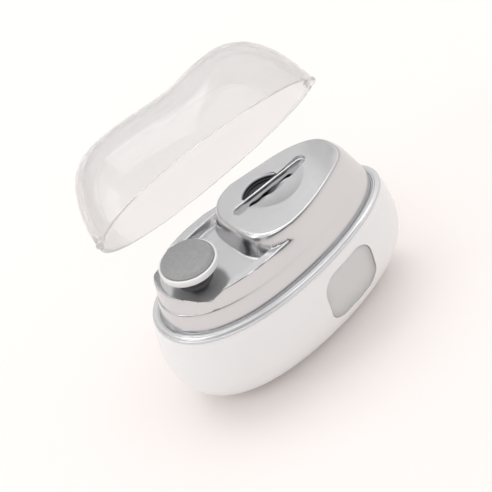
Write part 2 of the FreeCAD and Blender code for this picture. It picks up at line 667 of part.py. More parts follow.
# ---------------------------------------------------------------------------
# Build every piece in its place
# ---------------------------------------------------------------------------
save("lower_shell", make_lower_shell())
save("trim_ring", make_trim_ring())
save("top_cover", make_top_cover())
save("slot_guard", make_slot_guard())
save("deck", make_deck())
save("drum_cradle", make_drum_cradle())
save("dust_chute", make_dust_chute())
save("drum_bushings", make_bushings())
save("cutter_drum", make_cutter_drum())
save("drum_shaft", rod((FRONT_WALL_X[0] + 0.2, GEAR_X[1] + 0.2), SLOT_Y, DRUM_H, SHAFT_RADIUS))
save("drum_gear", make_gear(DRUM_TEETH, GEAR_X, DRUM_H, -90.0 + 180.0 / DRUM_TEETH))
save("motor_pinion", make_gear(PINION_TEETH, GEAR_X, MOTOR_H, 90.0))
save("cutter_motor_shaft", rod((GEAR_X[0], MOTOR_X[0] + 3.0), SLOT_Y, MOTOR_H, SHAFT_RADIUS))
can = rod(MOTOR_X, SLOT_Y, MOTOR_H, MOTOR_RADIUS)
bore = rod((MOTOR_X[0] - 1, MOTOR_X[0] + 3.4), SLOT_Y, MOTOR_H, SHAFT_RADIUS + FIT)
save("cutter_motor_can", can.cut(bore))
save("cutter_motor_cap", rod((MOTOR_X[1], MOTOR_X[1] + 0.9), SLOT_Y, MOTOR_H, MOTOR_RADIUS - 0.5))
save("motor_strap", make_motor_strap())
can = post(DISC_X, 0, CAN_H, POLISHER_RADIUS)
save("disc_motor_can", can.cut(post(DISC_X, 0, (CAN_H[1] - 5.4, CAN_H[1] + 1), SHAFT_RADIUS + FIT)))
save("disc_motor_cap", post(DISC_X, 0, (CAN_H[0] - 1.0, CAN_H[0]), POLISHER_RADIUS - 0.6))
save("disc_motor_shaft", post(DISC_X, 0, (CAN_H[1] - 5.0, HOLDER_H[0] - 2.0), SHAFT_RADIUS))
stem = post(DISC_X, 0, (CAN_H[1] + 1.0, HOLDER_H[0]), 3.4)
save("disc_stem", stem.cut(post(DISC_X, 0, (CAN_H[1], HOLDER_H[0] - 2.0), SHAFT_RADIUS)))
seal = post(DISC_X, 0, (DISH_FLOOR_H - COVER_WALL, DISH_FLOOR_H), 4.85)
seal = seal.fuse(post(DISC_X, 0, (DISH_FLOOR_H, DISH_FLOOR_H + 0.5), 5.6))
save("stem_seal", seal.cut(post(DISC_X, 0, (DISH_FLOOR_H - 3, DISH_FLOOR_H + 2), 3.8)))
save("pad_holder", make_pad_holder())
save("polishing_pad", make_polishing_pad())
save("dust_box", make_dust_box())
save("drawer_bay", make_drawer_bay())
save("battery_cell", make_cell())
save("battery_foam", block((-24.0, 8.0), (-6.5, 6.5), (2.5 - SEAM_Z, CELL_H[0])))
save("cell_tab_board", block((CELL_X[0] - 1.2, CELL_X[0]), (-7.0, 7.0), (CELL_H[0] + 1.5, CELL_H[1] - 1.5)))
save("circuit_board", make_board())
save("usb_socket", make_usb_socket())
save("tact_switch", make_switch())
save("switch_plunger", peg(BUTTON_X, (BOARD_FACE_Y + 1.3, 18.4), BUTTON_H, 1.3))
save("power_button", make_power_button())
save("status_lens", peg(LENS_X, (19.0, 30), LENS_H, 1.0).common(HULL_OUTER))
save("deck_screws", [screw_down(x, y, DECK_TOP_H, 4.6) for x, y in BOSS_SPOTS])
save("cover_screws", [screw_up(x, y, DECK_UNDER_H, 6.4) for x, y in COVER_SPOTS])
save("cradle_screws", [screw_down(x, y, DECK_TOP_H + 1.2, 2.8, 1.3) for x, y in CRADLE_SPOTS])
save("board_screws", [screw_across(x, height, BOARD_Y, 3.4) for x, height in BOARD_POSTS])
save("lid", make_lid())
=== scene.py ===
import json
import math

import bmesh
import bpy
import numpy as np
from mathutils import Matrix, Vector


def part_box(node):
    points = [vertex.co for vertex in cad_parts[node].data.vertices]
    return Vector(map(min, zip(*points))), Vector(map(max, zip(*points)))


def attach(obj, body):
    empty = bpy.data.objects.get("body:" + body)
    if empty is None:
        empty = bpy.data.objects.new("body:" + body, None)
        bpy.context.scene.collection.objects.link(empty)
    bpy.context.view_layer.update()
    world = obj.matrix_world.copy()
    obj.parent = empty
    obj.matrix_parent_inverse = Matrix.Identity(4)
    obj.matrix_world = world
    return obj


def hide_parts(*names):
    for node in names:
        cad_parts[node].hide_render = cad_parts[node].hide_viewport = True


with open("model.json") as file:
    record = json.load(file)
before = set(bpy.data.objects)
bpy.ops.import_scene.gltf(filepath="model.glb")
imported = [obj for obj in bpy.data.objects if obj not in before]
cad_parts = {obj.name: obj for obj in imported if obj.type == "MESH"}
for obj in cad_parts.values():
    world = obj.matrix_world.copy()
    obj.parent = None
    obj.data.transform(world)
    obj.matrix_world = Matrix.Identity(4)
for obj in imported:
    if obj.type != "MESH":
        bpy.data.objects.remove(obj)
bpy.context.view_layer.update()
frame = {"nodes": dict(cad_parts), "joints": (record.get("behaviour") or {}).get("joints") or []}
nodes = frame["nodes"]

# ---------------------------------------------------------------------------
# Base shell: one injection-moulded tub in white gloss ABS, boat-shaped, with a
# flat patch to stand on, a window for the dust box on the near side and holes
# for the button, the charging socket and the light on the far side.
# ---------------------------------------------------------------------------
MM = 0.001
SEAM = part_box("lower_shell")[1].z / MM
HALF_LENGTH = 43.0
HALF_WIDTH = 21.7
OUTLINE_POWER = 2.12
OUTLINE_TAPER = -0.172
SHELL_WALL = 2.0
FLOOR_THICK = 2.5
RIM_SOFT = 0.35
HULL_DEPTH = 35.6
HULL_END_POWER = 4.0
HULL_SIDE_POWER = 2.7
HULL_BULGE = 0.048
HULL_TAPER = -0.04
HULL_POINTS = 220
OUTSIDE_Y = 30.0


def egg(front, rear, half_width, angles, power=OUTLINE_POWER, taper=OUTLINE_TAPER, centre=0.0):
    """Plan outline of the body, as x and y arrays in millimetres."""
    cosine = np.cos(angles)
    sine = np.sin(angles)
    along = np.sign(cosine) * np.abs(cosine) ** (2.0 / power)
    across = np.sign(sine) * np.abs(sine) ** (2.0 / power)
    reach = np.where(along > 0, rear, front)
    return centre + reach * along, half_width * across * (1.0 + taper * along)


def ring_mesh(name, rings, close_first=True, close_last=True, fold_last=False):
    """Skin over a stack of closed rings, each an (n, 3) array in millimetres above the seam.
    fold_last closes a narrow last ring by joining its two long sides."""
    count = len(rings[0])
    points = np.concatenate(rings) * MM
    points[:, 2] += SEAM * MM
    faces = []
    for level in range(len(rings) - 1):
        low = level * count
        high = low + count
        for i in range(count):
            j = (i + 1) % count
            faces.append((low + i, low + j, high + j, high + i))
    if close_first:
        faces.append(tuple(range(count - 1, -1, -1)))
    last = (len(rings) - 1) * count
    if fold_last:
        for i in range(count // 2):
            across = count - i
            faces.append((last + i, last + i + 1, last + (across - 1) % count, last + across % count))
    elif close_last:
        faces.append(tuple(range(last, last + count)))
    mesh = bpy.data.meshes.new(name)
    mesh.from_pydata([tuple(p) for p in points], [], faces)
    mesh.update()
    piece = bpy.data.objects.new(name, mesh)
    bpy.context.scene.collection.objects.link(piece)
    tidy = bmesh.new()
    tidy.from_mesh(mesh)
    bmesh.ops.remove_doubles(tidy, verts=tidy.verts, dist=1e-6)
    bmesh.ops.recalc_face_normals(tidy, faces=tidy.faces)
    tidy.to_mesh(mesh)
    tidy.free()
    return piece


def flat_ring(x, y, height):
    return np.stack([x, y, np.full_like(x, height)], axis=1)


def smooth(piece, degrees=35.0):
    mesh = piece.data
    mesh.shade_smooth()
    mesh.set_sharp_from_angle(angle=math.radians(degrees))


def apply_modifiers(piece):
    graph = bpy.context.evaluated_depsgraph_get()
    graph.update()
    made = bpy.data.meshes.new_from_object(piece.evaluated_get(graph))
    old = piece.data
    piece.modifiers.clear()
    piece.data = made
    bpy.data.meshes.remove(old)


def combine(piece, others, operation):
    """Cut, join or intersect the piece with each of the others, then drop the others."""
    for other in others:
        step = piece.modifiers.new("combine", "BOOLEAN")
        step.operation = operation
        step.solver = "EXACT"
        step.object = other
    apply_modifiers(piece)
    for other in others:
        mesh = other.data
        bpy.data.objects.remove(other)
        bpy.data.meshes.remove(mesh)


def carve(piece, cutters):
    combine(piece, cutters, "DIFFERENCE")


def rounded_box_outline(x_range, z_range, corner, steps=10):
    """Rounded rectangle in X and Z as a list of points, in millimetres."""
    outline = []
    left, right = x_range[0] + corner, x_range[1] - corner
    bottom, top = z_range[0] + corner, z_range[1] - corner
    for x, z, start in ((right, top, 0), (left, top, 90), (left, bottom, 180), (right, bottom, 270)):
        for step in range(steps + 1):
            turn = math.radians(start + 90.0 * step / steps)
            outline.append((x + corner * math.cos(turn), z + corner * math.sin(turn)))
    return outline


def side_bar(name, outline, y_range):
    """Straight bar along Y over an X-Z outline."""
    x, z = np.array(outline).T
    return ring_mesh(name, [np.stack([x, np.full_like(x, y), z], axis=1) for y in y_range])


def evenly_round(count):
    return np.linspace(0.0, 2.0 * math.pi, count, endpoint=False)


def hull_ring(height, inset, angles):
    """Level outline of the hull, height millimetres above the seam (so negative)."""
    sink = min(max(-height / HULL_DEPTH, 0.0), 0.999)
    along = (1.0 - sink ** HULL_END_POWER) ** (1.0 / HULL_END_POWER)
    across = (1.0 - sink ** HULL_SIDE_POWER) ** (1.0 / HULL_SIDE_POWER)
    swell = 1.0 + HULL_BULGE * 4.0 * sink * (1.0 - sink)
    length = HALF_LENGTH * along * swell - inset
    width = HALF_WIDTH * across * swell - inset
    x, y = egg(length, length, width, angles, taper=OUTLINE_TAPER + HULL_TAPER * sink)
    return flat_ring(x, y, height)


def hull_rings(inset, bottom, steps):
    return [hull_ring(bottom * math.sin(0.5 * math.pi * step / steps), inset, evenly_round(HULL_POINTS))
            for step in range(steps + 1)]


def side_span(node, extra=0.0):
    """Extent of a CAD node in X and in height above the seam, in millimetres."""
    low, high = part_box(node)
    return ((low.x / MM - extra, high.x / MM + extra),
            (low.z / MM - SEAM - extra, high.z / MM - SEAM + extra))


def side_hole(node, half_length, half_height, corner):
    """Rounded outline of a hole centred on a CAD node."""
    middle_x, middle_z = [0.5 * (low + high) for low, high in side_span(node)]
    return rounded_box_outline((middle_x - half_length, middle_x + half_length),
                               (middle_z - half_height, middle_z + half_height), corner)


BOX_GAP = 0.25
WINDOW_X, WINDOW_Z = side_span("dust_box", BOX_GAP)
WINDOW_CORNER = 6.5
WINDOW_CUT_Y = (-OUTSIDE_Y, -9.0)
FAR_CUT_Y = (16.0, OUTSIDE_Y)

skin = hull_rings(0.0, -SEAM, 56)
skin[0][:, 2] = -0.3
rim_soft = flat_ring(*egg(HALF_LENGTH - RIM_SOFT, HALF_LENGTH - RIM_SOFT, HALF_WIDTH - RIM_SOFT,
                          evenly_round(HULL_POINTS)), 0.0)
lining = hull_rings(SHELL_WALL, FLOOR_THICK - SEAM, 30)
shell_piece = ring_mesh("base_shell", skin[::-1] + [rim_soft] + lining)
window_outline = rounded_box_outline(WINDOW_X, WINDOW_Z, WINDOW_CORNER)
lens_outline = rounded_box_outline(*side_span("status_lens"), 0.999)
carve(shell_piece, [side_bar("window_cut", window_outline, WINDOW_CUT_Y),
                    side_bar("button_cut", side_hole("power_button", 4.8, 3.3, 3.2), FAR_CUT_Y),
                    side_bar("socket_cut", side_hole("usb_socket", 5.0, 2.1, 2.0), FAR_CUT_Y),
                    side_bar("lens_cut", lens_outline, FAR_CUT_Y)])
smooth(shell_piece, 40.0)


def add_node(tree, kind, **values):
    """New shader node; each value sets the input of that name, or a property in lower case."""
    node = tree.nodes.new("ShaderNode" + kind)
    for name, value in values.items():
        if name[0].islower():
            setattr(node, name, value)
        else:
            node.inputs[name.replace("_", " ")].default_value = value
    return node


def skin_group(name, settings):
    """Empty node group from colour, roughness and settings to colour, roughness and height."""
    group = bpy.data.node_groups.new(name, "ShaderNodeTree")
    colour = group.interface.new_socket(name="Colour", in_out="INPUT", socket_type="NodeSocketColor")
    colour.default_value = (0.8, 0.8, 0.8, 1.0)
    for label, default in settings:
        value = group.interface.new_socket(name=label, in_out="INPUT", socket_type="NodeSocketFloat")
        value.default_value = default
    for label, kind in (("Colour", "Color"), ("Roughness", "Float"), ("Height", "Float")):
        group.interface.new_socket(name=label, in_out="OUTPUT", socket_type="NodeSocket" + kind)
    return group, group.nodes.new("NodeGroupInput"), group.nodes.new("NodeGroupOutput")


def moulding_group():
    """Faint mottling and moulding texture of a hard plastic skin."""
    group, inputs, outputs = skin_group("moulded_skin", (("Roughness", 0.3), ("Grain Scale", 900.0),
                                                         ("Variation", 0.04)))
    link = group.links.new
    place = add_node(group, "TexCoord")
    broad = add_node(group, "TexNoise", Scale=45.0, Detail=4.0)
    fine = add_node(group, "TexNoise", Detail=3.0)
    link(place.outputs["Object"], broad.inputs["Vector"])
    link(place.outputs["Object"], fine.inputs["Vector"])
    link(inputs.outputs["Grain Scale"], fine.inputs["Scale"])
    centred = add_node(group, "Math", operation="SUBTRACT")
    centred.inputs[1].default_value = 0.5
    spread = add_node(group, "Math", operation="MULTIPLY_ADD")
    spread.inputs[2].default_value = 1.0
    link(broad.outputs["Fac"], centred.inputs[0])
    link(centred.outputs[0], spread.inputs[0])
    link(inputs.outputs["Variation"], spread.inputs[1])
    shade = add_node(group, "Mix", data_type="RGBA", blend_type="MULTIPLY", Factor=1.0)
    link(inputs.outputs["Colour"], shade.inputs["A"])
    link(spread.outputs[0], shade.inputs["B"])
    rough = add_node(group, "Math", operation="MULTIPLY")
    link(inputs.outputs["Roughness"], rough.inputs[0])
    link(spread.outputs[0], rough.inputs[1])
    link(shade.outputs["Result"], outputs.inputs["Colour"])
    link(rough.outputs[0], outputs.inputs["Roughness"])
    link(fine.outputs["Fac"], outputs.inputs["Height"])
    return group


moulded_skin = moulding_group()


def new_material(name):
    material = bpy.data.materials.new(name)
    material.use_nodes = True
    tree = material.node_tree
    return material, tree, tree.nodes["Principled BSDF"]


def add_skin(tree, group, colour, settings):
    """Put a skin group in the tree with its colour and settings."""
    skin = tree.nodes.new("ShaderNodeGroup")
    skin.node_tree = group
    skin.inputs["Colour"].default_value = (*colour, 1.0)
    for label, value in settings:
        skin.inputs[label].default_value = value
    return skin


def add_relief(tree, shader, height, strength, distance):
    """Drive the shader's normal with a bump of the given height output."""
    bump = add_node(tree, "Bump", Strength=strength, Distance=distance)
    tree.links.new(height, bump.inputs["Height"])
    tree.links.new(bump.outputs["Normal"], shader.inputs["Normal"])


def plastic(name, colour, roughness, grain=900.0, variation=0.05, relief=0.02, coat=0.0):
    """Moulded plastic: even colour with a faint grain, and a coat when it is polished."""
    material, tree, shader = new_material(name)
    skin = add_skin(tree, moulded_skin, colour,
                    (("Roughness", roughness), ("Grain Scale", grain), ("Variation", variation)))
    tree.links.new(skin.outputs["Colour"], shader.inputs["Base Color"])
    tree.links.new(skin.outputs["Roughness"], shader.inputs["Roughness"])
    add_relief(tree, shader, skin.outputs["Height"], relief, 0.0002)
    shader.inputs["Coat Weight"].default_value = coat
    shader.inputs["Coat Roughness"].default_value = 0.08
    return material


def dress(piece, material):
    piece.data.materials.clear()
    piece.data.materials.append(material)


def dress_all(names, material):
    """Same material for several carried-over CAD nodes."""
    for name in names:
        dress(nodes[name], material)


white_gloss = plastic("white_gloss_abs", (0.89, 0.89, 0.895), 0.32, coat=0.35)
dress(shell_piece, white_gloss)
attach(shell_piece, "body")
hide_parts("lower_shell")

# ---------------------------------------------------------------------------
# Trim ring: a chromed plastic hoop pressed onto the seam. Its flat outer ledge
# carries the lid, and a raised bead separates the ledge from the cover.
# ---------------------------------------------------------------------------
LEDGE_H = 0.8
BEAD = 0.4
BEAD_INSET = 2.3
RING_INSET = 4.3
RING_FOOT_H = -0.8
SHELL_EDGE_INSET = 2.4


def seam_profile(name, profile, count=240):
    """Closed hoop that follows the seam; profile is a loop of (inset, height) points."""
    rings = []
    for inset, height in profile + profile[:1]:
        x, y = egg(HALF_LENGTH - inset, HALF_LENGTH - inset, HALF_WIDTH - inset, evenly_round(count))
        rings.append(flat_ring(x, y, height))
    return ring_mesh(name, rings, False, False)


def arc(centre, radius, start, end, steps):
    """Points of an arc in (inset, height) space, angles in degrees."""
    points = []
    for step in range(steps + 1):
        turn = math.radians(start + (end - start) * step / steps)
        points.append((centre[0] - radius * math.cos(turn), centre[1] + radius * math.sin(turn)))
    return points


trim_profile = ([(0.15, 0.0)] + arc((0.45, LEDGE_H - 0.3), 0.3, 0.0, 90.0, 6) + [(1.75, LEDGE_H)]
                + arc((BEAD_INSET, LEDGE_H - 0.02), BEAD, 15.0, 165.0, 12)
                + [(2.8, LEDGE_H - 0.12), (2.9, LEDGE_H), (RING_INSET, LEDGE_H), (RING_INSET, RING_FOOT_H),
                   (SHELL_EDGE_INSET, RING_FOOT_H), (SHELL_EDGE_INSET, 0.0)])
trim_piece = seam_profile("trim_hoop", trim_profile)
smooth(trim_piece, 50.0)


def handling_group():
    """Fine hairlines and soft smudges on a bright metal surface."""
    group, inputs, outputs = skin_group("handled_metal", (("Roughness", 0.12), ("Smudge", 0.05),
                                                          ("Hairline Scale", 160.0)))
    link = group.links.new
    place = add_node(group, "TexCoord")
    smudge = add_node(group, "TexNoise", Scale=60.0, Detail=5.0)
    hair = add_node(group, "TexNoise", Detail=2.0)
    stretch = add_node(group, "Mapping", Scale=(0.15, 6.0, 6.0))
    link(place.outputs["Object"], smudge.inputs["Vector"])
    link(place.outputs["Object"], stretch.inputs["Vector"])
    link(stretch.outputs["Vector"], hair.inputs["Vector"])
    link(inputs.outputs["Hairline Scale"], hair.inputs["Scale"])
    rough = add_node(group, "Math", operation="MULTIPLY_ADD")
    link(smudge.outputs["Fac"], rough.inputs[0])
    link(inputs.outputs["Smudge"], rough.inputs[1])
    link(inputs.outputs["Roughness"], rough.inputs[2])
    tone = add_node(group, "MapRange", To_Min=0.96, To_Max=1.03)
    link(smudge.outputs["Fac"], tone.inputs["Value"])
    shade = add_node(group, "Mix", data_type="RGBA", blend_type="MULTIPLY", Factor=1.0)
    link(inputs.outputs["Colour"], shade.inputs["A"])
    link(tone.outputs["Result"], shade.inputs["B"])
    link(shade.outputs["Result"], outputs.inputs["Colour"])
    link(rough.outputs[0], outputs.inputs["Roughness"])
    link(hair.outputs["Fac"], outputs.inputs["Height"])
    return group


handled_metal = handling_group()


def metal(name, colour, roughness, smudge=0.05, relief=0.01, hairline=160.0):
    """Bright metal, with painted shade: the base colour goes towards near black where the mesh carries a
    shade mask attribute.
    """
    material, tree, shader = new_material(name)
    shader.inputs["Metallic"].default_value = 1.0
    skin = add_skin(tree, handled_metal, colour,
                    (("Roughness", roughness), ("Smudge", smudge), ("Hairline Scale", hairline)))
    # Painted shade: a per-vertex mask mixes the base colour towards near black, standing in for the shade
    # that falls in hollows.
    shaded = add_node(tree, "Attribute", attribute_name="painted_pocket_shade")
    pocket_shade_mix = add_node(tree, "Mix", data_type="RGBA")
    pocket_shade_mix.inputs["B"].default_value = (0.07, 0.07, 0.075, 1.0)
    tree.links.new(shaded.outputs["Fac"], pocket_shade_mix.inputs["Factor"])
    tree.links.new(skin.outputs["Colour"], pocket_shade_mix.inputs["A"])
    tree.links.new(pocket_shade_mix.outputs["Result"], shader.inputs["Base Color"])
    tree.links.new(skin.outputs["Roughness"], shader.inputs["Roughness"])
    add_relief(tree, shader, skin.outputs["Height"], relief, 0.0001)
    return material


chrome = metal("satin_chrome", (0.66, 0.66, 0.67), 0.2)
dress(trim_piece, chrome)
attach(trim_piece, "body")
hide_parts("trim_ring")

# ---------------------------------------------------------------------------
# Cover: one vacuum-metallised plastic moulding. Its wall leans in and carries a
# fading crease line; in front is a low dished platform for the disc, behind it
# the high plateau with the cutting slot. Screwed up from the deck.
# ---------------------------------------------------------------------------
CREASE_H = 8.2
PLATFORM_H = 14.0
DISH_FLOOR_H = 11.2
PLATEAU_H = 18.6
COVER_WALL = 1.2
ROOF_WALL = 1.6

# Plan outlines of the cover: reach to the front, reach to the rear, half width.
FOOT = (40.0, 40.0, 18.7)
UNDER_CREASE = (39.0, 38.6, 17.7)
OVER_CREASE = (38.4, 38.2, 17.5)
SHOULDER_TOP = (36.8, 34.4, 16.0)
SHOULDER_POWER = 2.45
NOSE_X = 8.0
NOSE_FOOT = (19.2, 60.0, 16.8)
NOSE_TOP = (16.8, 60.0, 15.6)
NOSE_POWER = 3.0
NOSE_WIDEN = 8.0
DISH = (11.0, 14.8)
CHANNEL = (35.3, 13.8)
DISH_EASE = 1.3
CROWN = 1.4
SCOOP_DEPTH = 1.3
SCOOP_CURVE = 93.0
SCOOP_OFFSET = (1.4, 1.7)


def plan_centre(node):
    """Middle of a CAD node in plan, in millimetres."""
    low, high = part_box(node)
    return 0.5 * (low.x + high.x) / MM, 0.5 * (low.y + high.y) / MM


DISC_X = plan_centre("pad_holder")[0]
SLOT_X, SLOT_Y = plan_centre("slot_guard")
SLOT_LENGTH = 28.0
SLOT_WIDTH = 3.5
POCKET_X, POCKET_Y, POCKET_RADIUS = 7.5, 1.75, 7.85
POCKET_EDGE = SLOT_Y + 2.8
STEM_HOLE = 9.8


def soft_min(a, b, k):
    """Smaller of two heights, with a fillet about k wide where they meet."""
    blend = np.clip(0.5 + 0.5 * (b - a) / k, 0.0, 1.0)
    return b * (1.0 - blend) + a * blend - k * blend * (1.0 - blend)


def soft_max(a, b, k):
    return -soft_min(-a, -b, k)


def ease(value):
    value = np.clip(value, 0.0, 1.0)
    return value * value * (3.0 - 2.0 * value)


def depth_inside(x, y, front, rear, half_width, power, taper, centre=0.0):
    """Distance inside an egg outline, near enough close to its edge."""
    def level(px, py):
        reach = np.where(px > centre, rear, front)
        along = (px - centre) / reach
        across = py / (half_width * (1.0 + taper * np.clip(along, -1.5, 1.5)))
        return (np.abs(along) ** power + np.abs(across) ** power + 1e-9) ** (1.0 / power)
    step = 0.02
    value = level(x, y)
    slope_x = (level(x + step, y) - level(x - step, y)) / (2.0 * step)
    slope_y = (level(x, y + step) - level(x, y - step)) / (2.0 * step)
    return (1.0 - value) / np.maximum(np.hypot(slope_x, slope_y), 1e-4)


def leaning_wall(x, y, low, high, low_egg, high_egg, inset=0.0, centre=0.0,
                 powers=(OUTLINE_POWER, OUTLINE_POWER), taper=OUTLINE_TAPER):
    """Height of a wall that leans from one outline (front, rear, half width) to a smaller one."""
    start = depth_inside(x, y, *[size - inset for size in low_egg], powers[0], taper, centre)
    end = depth_inside(x, y, *[size - inset for size in high_egg], powers[1], taper, centre)
    return low + (high - low) * start / np.maximum(start - end, 0.4)


def cover_height(x, y, inset, roof):
    """Height of the cover over the plan; inset and roof give its inner side."""
    # The wall leans in twice; the crease between the two slopes fades out rearwards.
    lower = leaning_wall(x, y, LEDGE_H, CREASE_H, FOOT, UNDER_CREASE, inset)
    upper = leaning_wall(x, y, CREASE_H, PLATEAU_H, OVER_CREASE, SHOULDER_TOP, inset,
                         powers=(OUTLINE_POWER, SHOULDER_POWER))
    fade = ease((x + 4.0) / 22.0)
    wall = soft_min(lower, soft_max(upper, np.full_like(x, CREASE_H), 0.6), 2.6 + 1.4 * fade)
    # The plateau has a blunt nose over the dish and widens rearwards to meet the wall.
    widen = NOSE_WIDEN * ease((x - 2.0) / 9.0)
    nose = leaning_wall(x, y, DISH_FLOOR_H - 1.5, PLATEAU_H, NOSE_FOOT, NOSE_TOP, inset - widen, NOSE_X,
                        (NOSE_POWER, NOSE_POWER), 0.0)
    outer = roof == 0.0
    crown = CROWN * ease((x - 8.0) / 18.0) if outer else 0.0
    plateau = soft_min(nose, PLATEAU_H - roof + crown, 4.5)
    # The dish runs on as a channel under the nose.
    dish = depth_inside(x, y, DISH[0] + inset, DISH[0] + inset, DISH[1] + inset, 2.0, 0.0, centre=DISC_X)
    channel = depth_inside(x, y, CHANNEL[0], CHANNEL[0], CHANNEL[1] + inset, OUTLINE_POWER, OUTLINE_TAPER)
    channel = np.minimum(channel, 1.5 * (x - DISC_X - 4.0))
    sunk = soft_max(dish, channel, 0.6)
    low = PLATFORM_H - inset - (PLATFORM_H - DISH_FLOOR_H) * ease(sunk / DISH_EASE)
    # A shallow thumb-wide scoop leads a nail into the slot from the near side.
    away = (x - SLOT_X - SCOOP_OFFSET[0]) ** 2 + (y - SLOT_Y - SCOOP_OFFSET[1]) ** 2
    scoop = np.where((y < SLOT_Y) & outer, np.maximum(SCOOP_DEPTH - away / SCOOP_CURVE, 0.0), 0.0)
    top = soft_max(low, plateau - scoop, 0.7)
    return soft_min(wall, top, 1.6 + 4.6 * ease((x + 9.0) / 6.0))


def cover_skin(name, inset, roof, fine, coarse, count, foot_drop):
    """Closed body under the cover's surface: fine rings over the wall, coarser ones inside."""
    reach = FOOT[0] - inset
    width = FOOT[2] - inset
    steps = np.concatenate([np.linspace(0.0, 7.0, fine), np.linspace(7.0, width - 0.01, coarse)[1:]])
    rings = []
    for step in steps:
        x, y = egg(reach - step, reach - step, width - step, evenly_round(count))
        height = cover_height(x, y, inset, roof)
        rings.append(np.stack([x, y, np.maximum(height, LEDGE_H)], axis=1))
    rings[0][:, 2] = LEDGE_H
    foot = rings[0].copy()
    foot[:, 2] = LEDGE_H - foot_drop
    return ring_mesh(name, ([foot] if foot_drop else []) + rings, fold_last=True)


def plan_outline(x, y, length, width, steps=14):
    """Stadium in plan, as an (n, 2) array about its centre."""
    outline = []
    straight = 0.5 * (length - width)
    for side, start in ((straight, -90.0), (-straight, 90.0)):
        for step in range(steps + 1):
            turn = math.radians(start + 180.0 * step / steps)
            outline.append((x + side + 0.5 * width * math.cos(turn), y + 0.5 * width * math.sin(turn)))
    return np.array(outline)


def outline_normals(outline):
    edge = np.roll(outline, -1, axis=0) - np.roll(outline, 1, axis=0)
    normal = np.stack([edge[:, 1], -edge[:, 0]], axis=1)
    return normal / np.maximum(np.linalg.norm(normal, axis=1, keepdims=True), 1e-9)


def flared_cutter(name, outline, levels):
    """Upright cutter over a plan outline; levels are (height, outward growth)."""
    normal = outline_normals(outline)
    rings = []
    for height, growth in levels:
        grown = outline + normal * growth
        rings.append(np.concatenate([grown, np.full((len(grown), 1), height)], axis=1))
    return ring_mesh(name, rings)


cover_piece = cover_skin("metallised_cover", 0.0, 0.0, 64, 60, 380, 0.0)
hollow = cover_skin("cover_hollow", COVER_WALL, ROOF_WALL, 24, 20, 120, 2.0)
slot_cut = flared_cutter("slot_cut", plan_outline(SLOT_X, SLOT_Y, SLOT_LENGTH, SLOT_WIDTH),
                         [(PLATEAU_H - 2.4, 0.0), (PLATEAU_H - 0.35, 0.0), (PLATEAU_H - 0.1, 0.1),
                          (PLATEAU_H + 0.05, 0.4), (PLATEAU_H + 2.0, 0.4)])
half_angle = math.asin((POCKET_EDGE - POCKET_Y) / POCKET_RADIUS)
crescent = np.array([(POCKET_X + POCKET_RADIUS * math.cos(t), POCKET_Y + POCKET_RADIUS * math.sin(t))
                     for t in np.linspace(half_angle, math.pi - half_angle, 28)])
pocket_cut = flared_cutter("pocket_cut", crescent,
                           [(PLATEAU_H - 1.4, -0.3), (PLATEAU_H - 1.2, 0.0), (PLATEAU_H - 0.5, 0.0),
                            (PLATEAU_H + 0.05, 0.55), (PLATEAU_H + 2.0, 0.55)])
stem_hole = flared_cutter("stem_hole", plan_outline(DISC_X, 0.0, STEM_HOLE + 0.01, STEM_HOLE),
                          [(DISH_FLOOR_H - 3.0, 0.0), (DISH_FLOOR_H + 1.0, 0.0)])


def end_block(name, x_range, half_width, z_range, side):
    """Upright block at one tip of the body; side is -1.0 for the front and 1.0 for the rear."""
    near, far = x_range
    corners = np.array([(near, -half_width), (far, -half_width), (far, half_width), (near, half_width)])
    return flared_cutter(name, corners * side, [(height, 0.0) for height in z_range])


latch_cuts = [end_block("latch_cut", (39.3, 41.2), 2.5, (LEDGE_H - 1.0, LEDGE_H + 2.5), side)
              for side in (-1.0, 1.0)]
carve(cover_piece, [hollow, pocket_cut, slot_cut, stem_hole] + latch_cuts)
smooth(cover_piece, 32.0)
# Painted shade: mark the vertices inside the half-moon pocket, below its lip, so the chrome turns near
# black there in place of real shade.
painted_pocket_shade = cover_piece.data.attributes.new("painted_pocket_shade", "FLOAT", "POINT")
for i, vertex in enumerate(cover_piece.data.vertices):
    x, y, z = vertex.co / MM
    in_pocket = math.hypot(x - POCKET_X, y - POCKET_Y) < POCKET_RADIUS + 0.1 and y > POCKET_EDGE - 0.1
    painted_pocket_shade.data[i].value = 1.0 if in_pocket and z < SEAM + PLATEAU_H - 0.45 else 0.0
dress(cover_piece, chrome)
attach(cover_piece, "body")
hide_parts("top_cover")

# ---------------------------------------------------------------------------
# Slot guard and cutter: a polished steel strip with a narrow mouth, and under it
# a hardened fluted drum on a steel shaft in brass bushings, geared to the motor.
# ---------------------------------------------------------------------------
polished_steel = metal("polished_steel", (0.62, 0.62, 0.63), 0.16, smudge=0.06, relief=0.03, hairline=240.0)
tool_steel = metal("ground_tool_steel", (0.5, 0.5, 0.51), 0.22, smudge=0.1, relief=0.05, hairline=500.0)
brass = metal("turned_brass", (0.78, 0.58, 0.26), 0.22, smudge=0.1, relief=0.04, hairline=400.0)
can_metal = metal("drawn_can_steel", (0.55, 0.56, 0.58), 0.28, smudge=0.12, relief=0.03)
dress_all(("slot_guard", "drum_shaft", "cutter_motor_shaft", "disc_motor_shaft", "motor_strap",
           "usb_socket", "deck_screws", "cover_screws", "cradle_screws", "board_screws"), polished_steel)
dress_all(("cutter_drum",), tool_steel)
dress_all(("drum_bushings", "motor_pinion"), brass)
dress_all(("cutter_motor_can", "disc_motor_can"), can_metal)
acetal = plastic("natural_acetal", (0.82, 0.8, 0.74), 0.42, relief=0.05)
dark_nylon = plastic("black_nylon", (0.035, 0.035, 0.038), 0.5, grain=1400.0, relief=0.12)
grey_abs = plastic("grey_abs", (0.3, 0.3, 0.31), 0.5, grain=1200.0, relief=0.1)
dress_all(("drum_gear",), acetal)
dress_all(("drum_cradle", "dust_chute", "cutter_motor_cap", "disc_motor_cap", "tact_switch"), dark_nylon)
dress_all(("deck", "switch_plunger"), grey_abs)

